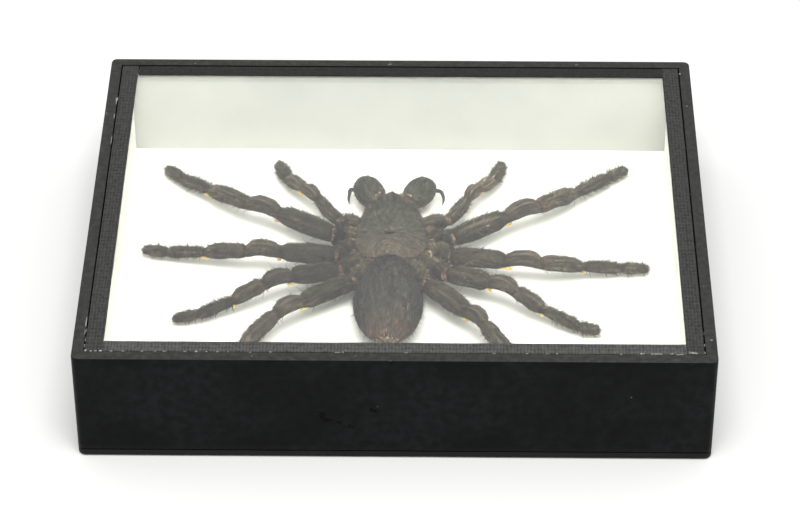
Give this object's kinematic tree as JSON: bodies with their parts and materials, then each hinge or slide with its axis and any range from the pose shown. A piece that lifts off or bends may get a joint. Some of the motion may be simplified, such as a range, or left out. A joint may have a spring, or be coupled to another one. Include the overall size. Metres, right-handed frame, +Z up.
{
  "type": "framed tarantula specimen",
  "caption": "Dried tarantula with its legs spread on a white backing in a sealed, glass-fronted black shadow box.",
  "frame": {"origin": "middle of the underside of the back panel, which the box rests on", "axes": "+X to the right seen from the front, along the long side; +Y away from the viewer, towards the specimen's head; +Z up, out of the glass"},
  "size_m": [0.2, 0.16, 0.04],
  "materials": {
    "black_paint": "satin black paint over wood, scuffed at the edges",
    "white_card": "matt white card",
    "clear_glass": "clear flat picture glass",
    "cloth_tape": "black woven cloth tape",
    "hide": "dry brown-black cuticle under fine hair",
    "velvet": "dry hide under short dark velvety hair",
    "horn": "glossy black horn"
  },
  "bodies": {
    "root": {"back_panel": "black_paint", "wall_front": "black_paint", "wall_back": "black_paint", "wall_left": "black_paint", "wall_right": "black_paint", "backing": "white_card", "lining_front": "white_card", "lining_back": "white_card", "lining_left": "white_card", "lining_right": "white_card", "glass": "clear_glass", "tape_front": "cloth_tape", "tape_back": "cloth_tape", "tape_left": "cloth_tape", "tape_right": "cloth_tape", "prosoma": "hide", "abdomen": "velvet", "chelicera_left": "hide", "chelicera_right": "hide", "fang_left": "horn", "fang_right": "horn", "palp_left": "hide", "palp_right": "hide", "leg_1_left": "hide", "leg_1_right": "hide", "leg_2_left": "hide", "leg_2_right": "hide", "leg_3_left": "hide", "leg_3_right": "hide", "leg_4_left": "hide", "leg_4_right": "hide"}
  },
  "joints": []
}
